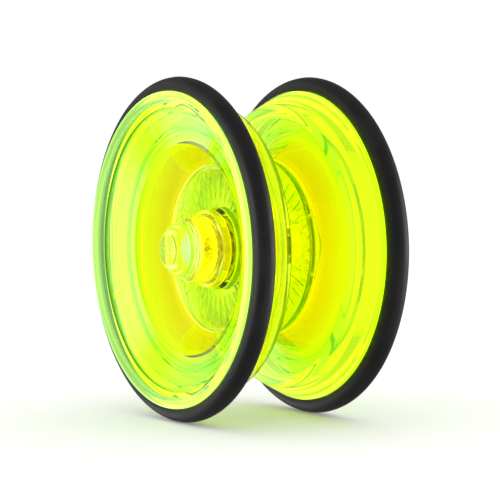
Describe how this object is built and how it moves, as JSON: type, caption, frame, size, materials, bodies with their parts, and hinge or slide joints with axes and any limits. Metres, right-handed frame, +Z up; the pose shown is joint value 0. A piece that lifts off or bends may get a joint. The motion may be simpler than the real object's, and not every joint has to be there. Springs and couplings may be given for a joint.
{
  "type": "yo-yo",
  "caption": "Wide ball-bearing yo-yo with transparent neon halves, snapped-in side dishes, rubber-tyred rims and an unscrewing axle.",
  "frame": {"origin": "centre of the ball bearing, in the middle of the axle and of the string gap", "axes": "+Y along the axle from the front half to the rear half, +Z up, +X to the right when the front half faces the viewer"},
  "size_m": [0.075, 0.04, 0.075],
  "materials": {
    "neon_plastic": "transparent neon yellow-green polycarbonate",
    "dish_plastic": "transparent neon yellow polycarbonate",
    "cap_plastic": "transparent pale yellow-green, spark-grained barrel and polished nose",
    "tyre_rubber": "satin black rubber",
    "pad_rubber": "matt black silicone",
    "axle_steel": "nickel-plated steel",
    "nut_brass": "turned brass",
    "spacer_aluminium": "turned aluminium",
    "shim_nylon": "natural nylon",
    "bearing_steel": "ground bearing steel",
    "cage_brass": "pressed brass"
  },
  "bodies": {
    "race": {"bearing_outer_race": "bearing_steel", "front_shield": "bearing_steel", "rear_shield": "bearing_steel", "front_snap_ring": "bearing_steel", "rear_snap_ring": "bearing_steel"},
    "spindle": {"front_shell": "neon_plastic", "front_tyre": "tyre_rubber", "front_dish": "dish_plastic", "front_hub_cap": "cap_plastic", "front_pad": "pad_rubber", "front_nut": "nut_brass", "front_spacer": "spacer_aluminium", "front_shim": "shim_nylon", "axle": "axle_steel", "bearing_inner_race": "bearing_steel"},
    "ball_cage": {"bearing_balls": "bearing_steel", "bearing_cage": "cage_brass"},
    "rear_turn": {"rear_shim": "shim_nylon"},
    "rear_half": {"rear_shell": "neon_plastic", "rear_tyre": "tyre_rubber", "rear_dish": "dish_plastic", "rear_hub_cap": "cap_plastic", "rear_pad": "pad_rubber", "rear_nut": "nut_brass", "rear_spacer": "spacer_aluminium"}
  },
  "joints": [
    {"name": "spin", "type": "hinge", "parent": "race", "child": "spindle", "pos_m": [0, 0, 0], "axis": [0, 1, 0], "continuous": true},
    {"name": "cage_spin", "type": "hinge", "parent": "race", "child": "ball_cage", "pos_m": [0, 0, 0], "axis": [0, 1, 0], "continuous": true},
    {"name": "rear_unscrew", "type": "hinge", "parent": "spindle", "child": "rear_turn", "pos_m": [0, 0, 0], "axis": [0, 1, 0], "range_deg": [0, 1080]},
    {"name": "rear_back_off", "type": "slide", "parent": "rear_turn", "child": "rear_half", "axis": [0, 1, 0], "range_m": [0, 0.0021]}
  ],
  "couplings": [
    {"joint": "cage_spin", "follows": "spin", "ratio": 0.4166},
    {"joint": "rear_back_off", "follows": "rear_unscrew", "m_per_rad": 0.0001114}
  ]
}
